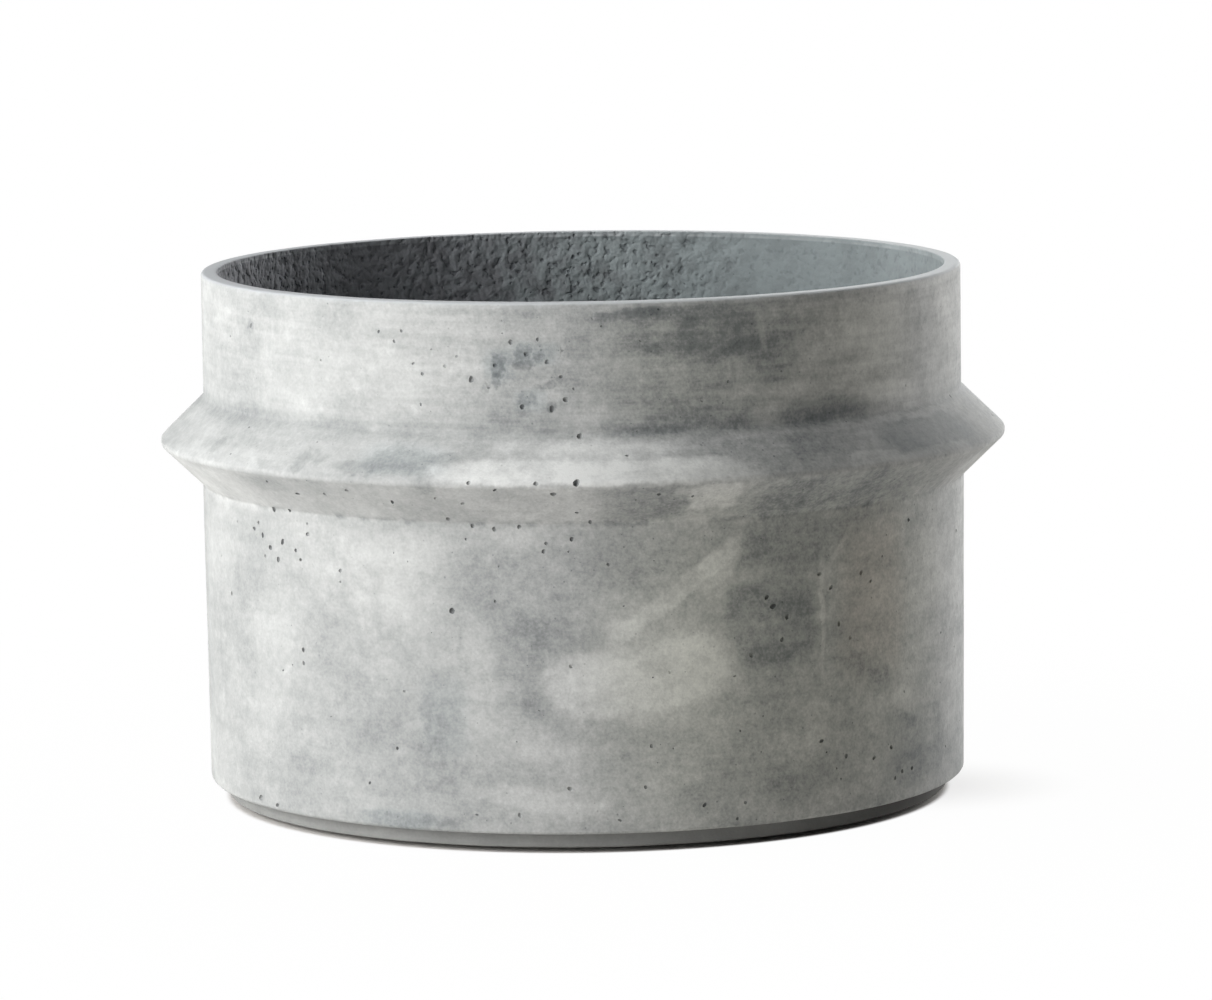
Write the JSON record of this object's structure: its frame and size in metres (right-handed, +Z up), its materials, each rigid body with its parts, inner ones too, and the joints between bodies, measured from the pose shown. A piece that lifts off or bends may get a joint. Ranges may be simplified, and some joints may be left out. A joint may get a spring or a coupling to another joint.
{
  "type": "concrete planter",
  "caption": "Round thin-walled concrete floor planter with a V-shaped flange round the wall, a recessed foot and a drain hole closed by a lift-out plug.",
  "frame": {"origin": "on the floor plane, at the planter's axis", "axes": "+Z up along the planter's axis of turning; X and Y are level, and the pads stand on the diagonals between them"},
  "size_m": [0.3999, 0.4, 0.2505],
  "materials": {
    "wall_concrete": "matte cast concrete, clouded, with pinholes",
    "slab_concrete": "matte poured concrete",
    "seal_mortar": "matte trowelled mortar",
    "sleeve_plastic": "matte extruded plastic",
    "plug_rubber": "matte moulded rubber",
    "pad_rubber": "matte cut rubber sheet"
  },
  "bodies": {
    "planter": {"planter_wall": "wall_concrete", "base_slab": "slab_concrete", "corner_seal": "seal_mortar", "drain_sleeve": "sleeve_plastic", "floor_pad_1": "pad_rubber", "floor_pad_2": "pad_rubber", "floor_pad_3": "pad_rubber", "floor_pad_4": "pad_rubber"},
    "plug": {"drain_plug": "plug_rubber"}
  },
  "joints": [
    {"name": "drain_plug_lift", "type": "slide", "parent": "planter", "child": "plug", "axis": [0, 0, 1], "range_m": [0, 0.255]}
  ]
}
